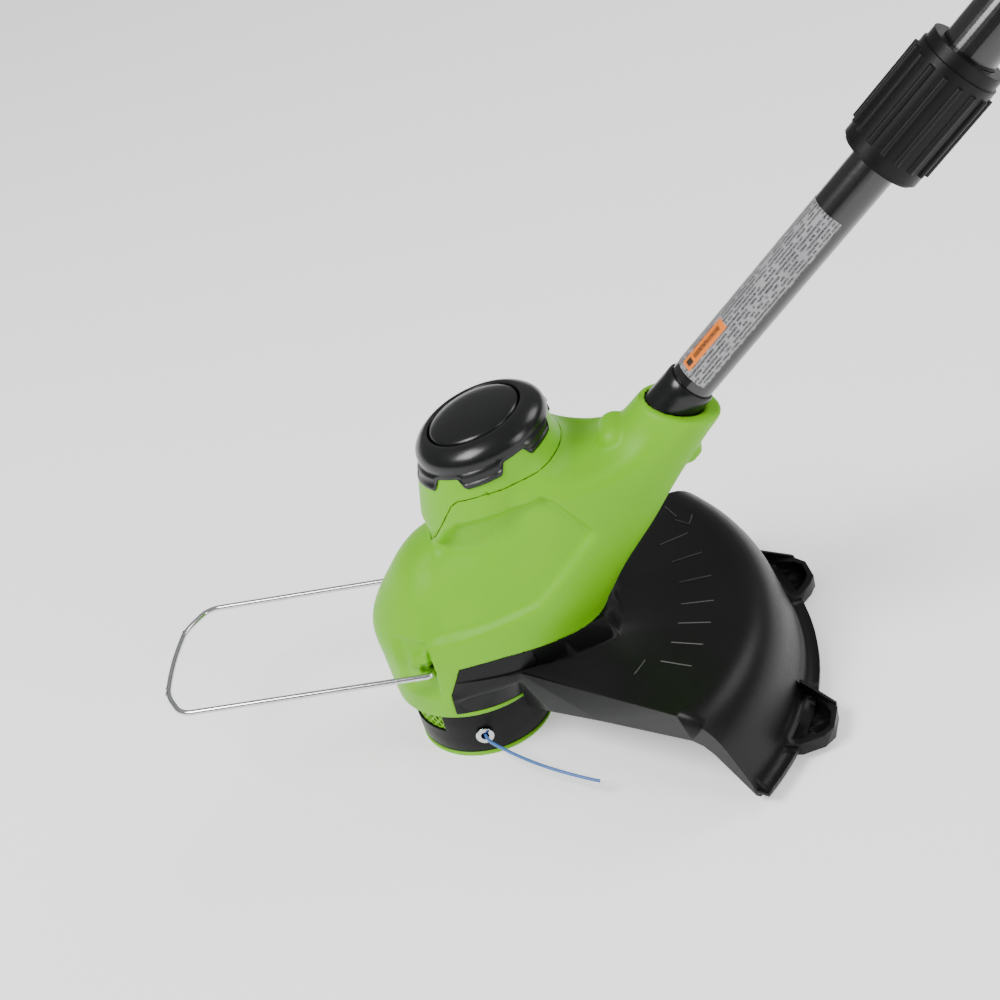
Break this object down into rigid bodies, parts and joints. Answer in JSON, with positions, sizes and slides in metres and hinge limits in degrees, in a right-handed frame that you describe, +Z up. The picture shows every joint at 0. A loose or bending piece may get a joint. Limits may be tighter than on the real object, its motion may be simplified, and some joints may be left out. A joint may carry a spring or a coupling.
{
  "type": "string trimmer",
  "caption": "Battery string trimmer with a green motor head, spinning line drum, black debris guard, folding wire edge guide, telescoping shaft, front loop and rear trigger handle.",
  "frame": {"origin": "centre of the flat face under the spool cap, on the line head's spin axis", "axes": "+Z up along the line head's spin axis, +X towards the user along the rising shaft, XZ is the middle plane of the head, guard, shaft and handles"},
  "size_m": [1.0856, 0.2038, 0.932],
  "materials": {
    "green_plastic": "satin moulded",
    "black_plastic": "fine moulded grain",
    "gloss_black": "satin gloss",
    "tube_paint": "gloss powder coat",
    "steel": "zinc plated",
    "chrome": "polished",
    "spool_line": "translucent nylon",
    "label": "printed film",
    "rubber": "soft grip",
    "white_nylon": "bare nylon",
    "brass": "turned",
    "cell_wrap": "shrink wrap",
    "magnet": "ferrite"
  },
  "bodies": {
    "upper_shaft": {"upper_tube": "tube_paint", "lock_collet": "white_nylon", "front_clamp_top": "black_plastic", "front_clamp_bottom": "black_plastic", "front_clamp_screws": "steel", "front_pivot_bolt": "steel", "rear_handle_left": "green_plastic", "rear_handle_right": "green_plastic", "handle_screws": "steel", "grip_pad": "rubber", "trigger_pin": "steel", "trigger_spring": "steel", "switch_block": "black_plastic", "battery_terminal": "black_plastic"},
    "lower_shaft": {"lower_tube": "tube_paint", "tube_sleeve": "gloss_black", "label_band": "label", "slide_bush": "white_nylon"},
    "motor_head": {"housing_body": "green_plastic", "housing_cover": "green_plastic", "cap_ring": "black_plastic", "cap_dome": "gloss_black", "cover_screws": "steel", "motor_mount_plate": "steel", "motor_can": "steel", "motor_magnets": "magnet", "motor_end_cap": "black_plastic", "motor_brushes": "brass", "motor_bearings": "steel", "motor_screws": "steel", "debris_guard": "black_plastic", "guard_screws": "steel", "line_cutter": "steel", "cutter_screws": "steel", "socket_bush": "white_nylon"},
    "line_head": {"motor_axle": "steel", "rotor_core": "steel", "commutator": "brass", "cooling_fan": "black_plastic", "line_drum": "black_plastic", "drive_hub": "brass", "line_spool": "green_plastic", "wound_line": "spool_line", "spool_cap": "green_plastic", "spool_spring": "steel", "line_eyelet": "chrome", "cut_line": "spool_line"},
    "edge_guide": {"wire_guide": "chrome"},
    "locking_collar": {"lock_collar": "black_plastic"},
    "front_handle": {"front_loop": "black_plastic", "front_grip": "rubber"},
    "handle_knob": {"front_knob": "black_plastic"},
    "trigger": {"trigger": "black_plastic"},
    "lock_button": {"lock_button": "black_plastic"},
    "battery": {"battery_case": "black_plastic", "battery_lid": "black_plastic", "battery_contacts": "brass", "battery_cells": "cell_wrap"},
    "battery_release": {"battery_release": "green_plastic"}
  },
  "joints": [
    {"name": "line_spin", "type": "hinge", "parent": "motor_head", "child": "line_head", "pos_m": [0, 0, 0], "axis": [0, 0, 1], "continuous": true},
    {"name": "shaft_length", "type": "slide", "parent": "upper_shaft", "child": "lower_shaft", "axis": [-0.7218, 0, -0.6921], "range_m": [0, 0.18]},
    {"name": "head_turn", "type": "hinge", "parent": "lower_shaft", "child": "motor_head", "pos_m": [0.1105, 0, 0.15], "axis": [0.7218, 0, 0.6921], "range_deg": [0, 180]},
    {"name": "guide_fold", "type": "hinge", "parent": "motor_head", "child": "edge_guide", "pos_m": [-0.012, 0, 0.062], "axis": [0, 1, 0], "range_deg": [0, 95]},
    {"name": "collar_turn", "type": "hinge", "parent": "upper_shaft", "child": "locking_collar", "pos_m": [0.25774, 0, 0.2912], "axis": [0.7218, 0, 0.6921], "range_deg": [0, 60]},
    {"name": "front_handle_tilt", "type": "hinge", "parent": "upper_shaft", "child": "front_handle", "pos_m": [0.46851, 0, 0.52796], "axis": [0, 1, 0], "range_deg": [-35, 40]},
    {"name": "knob_turn", "type": "hinge", "parent": "upper_shaft", "child": "handle_knob", "pos_m": [0.46851, 0, 0.52796], "axis": [0, 1, 0], "continuous": true},
    {"name": "trigger_pull", "type": "hinge", "parent": "upper_shaft", "child": "trigger", "pos_m": [0.76279, 0, 0.76721], "axis": [0, 1, 0], "range_deg": [0, 9], "stiffness_Nm_per_rad": 0.9, "springref_deg": -6.88},
    {"name": "lock_off_press", "type": "slide", "parent": "upper_shaft", "child": "lock_button", "axis": [0.6921, 0, -0.7218], "range_m": [0, 0.0035], "stiffness_N_per_m": 400, "springref_m": -0.003},
    {"name": "battery_slide", "type": "slide", "parent": "upper_shaft", "child": "battery", "axis": [0.7218, 0, 0.6921], "range_m": [0, 0.07]},
    {"name": "battery_release_press", "type": "slide", "parent": "battery", "child": "battery_release", "axis": [-0.7218, 0, -0.6921], "range_m": [0, 0.003], "stiffness_N_per_m": 400, "springref_m": -0.003}
  ]
}
